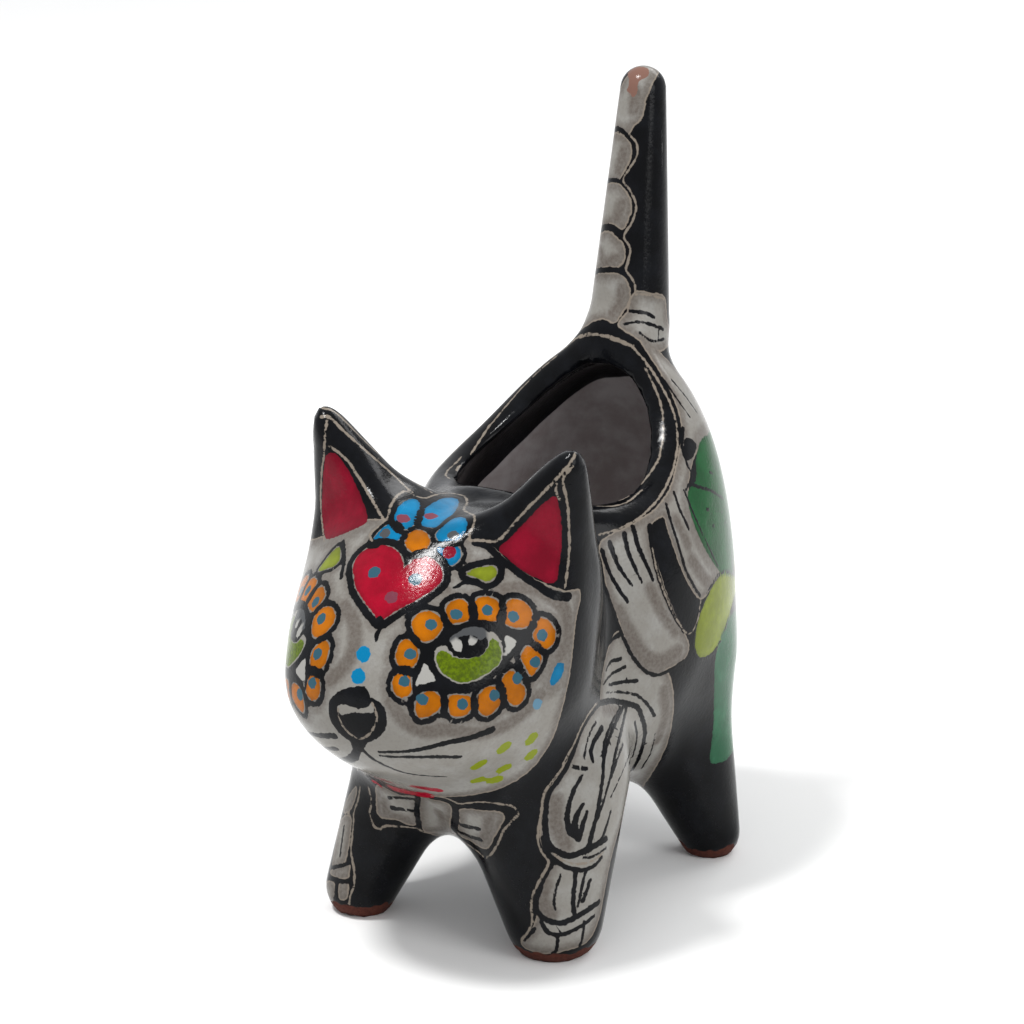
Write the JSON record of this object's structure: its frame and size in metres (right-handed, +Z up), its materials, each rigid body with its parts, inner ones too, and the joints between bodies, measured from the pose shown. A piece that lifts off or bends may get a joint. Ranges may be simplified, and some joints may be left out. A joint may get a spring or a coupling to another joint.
{
  "type": "ceramic cat planter",
  "caption": "Hand-painted glazed ceramic planter shaped as a standing cat with an upright tail and an open back.",
  "frame": {"origin": "on the ground, at the middle of the bounding box seen from above", "axes": "+Z up, -Y the way the cat looks, +X its left side"},
  "size_m": [0.1019, 0.1917, 0.2559],
  "materials": {
    "glaze": "gloss"
  },
  "bodies": {
    "root": {"cat_planter": "glaze"}
  },
  "joints": []
}
